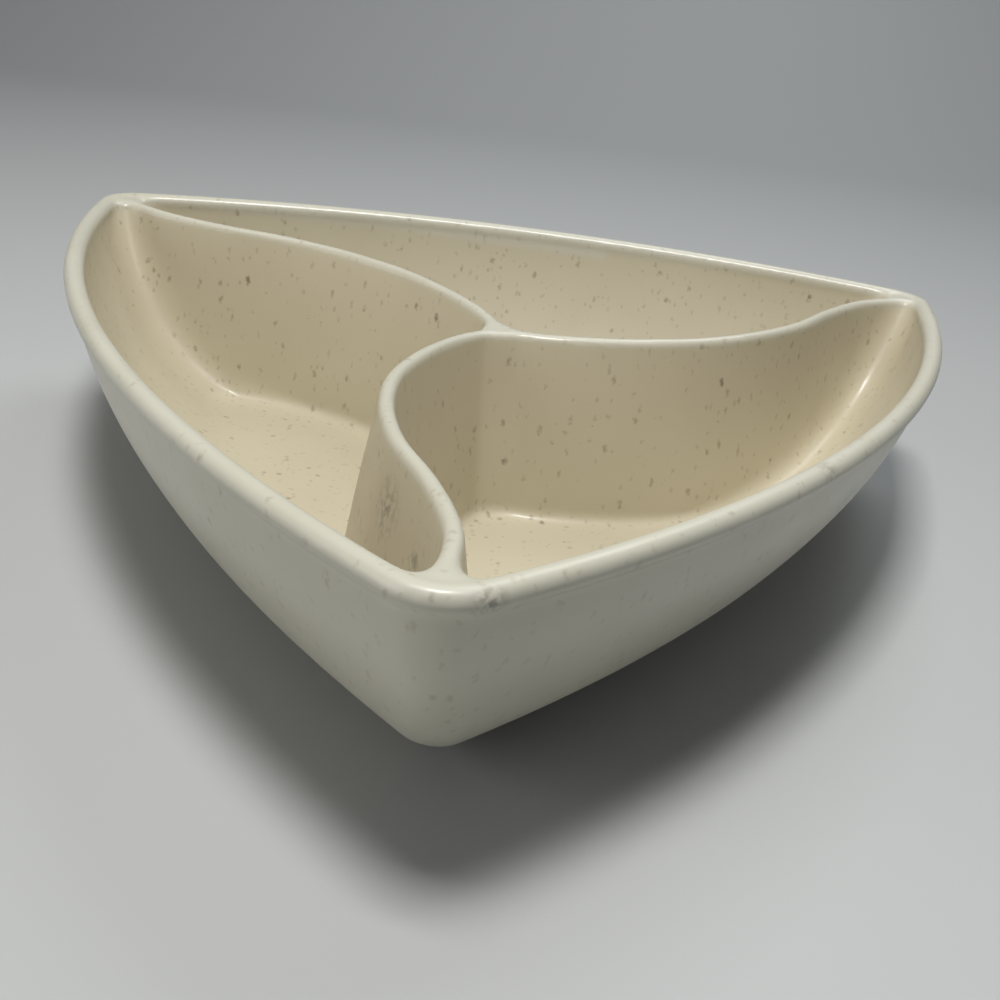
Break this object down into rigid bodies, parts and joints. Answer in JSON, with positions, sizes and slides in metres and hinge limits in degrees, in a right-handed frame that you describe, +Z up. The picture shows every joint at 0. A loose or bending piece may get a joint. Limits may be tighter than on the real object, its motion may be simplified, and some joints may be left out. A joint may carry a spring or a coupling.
{
  "type": "divided serving bowl",
  "caption": "Rounded triangular serving bowl with flared walls, a rounded rim and swirling dividers that meet in the middle.",
  "frame": {"origin": "middle of the flat underside, on the table", "axes": "+Z up out of the bowl; -Y towards one corner of the rounded triangle, the one nearest the viewer in the picture"},
  "size_m": [0.2852, 0.2754, 0.064],
  "materials": {
    "moulding": "glossy, cream with fine brown and grey flecks"
  },
  "bodies": {
    "root": {"base_plate": "moulding", "outer_wall": "moulding", "rim_lip": "moulding", "divider_front": "moulding", "divider_right": "moulding", "divider_left": "moulding", "divider_hub": "moulding"}
  },
  "joints": []
}
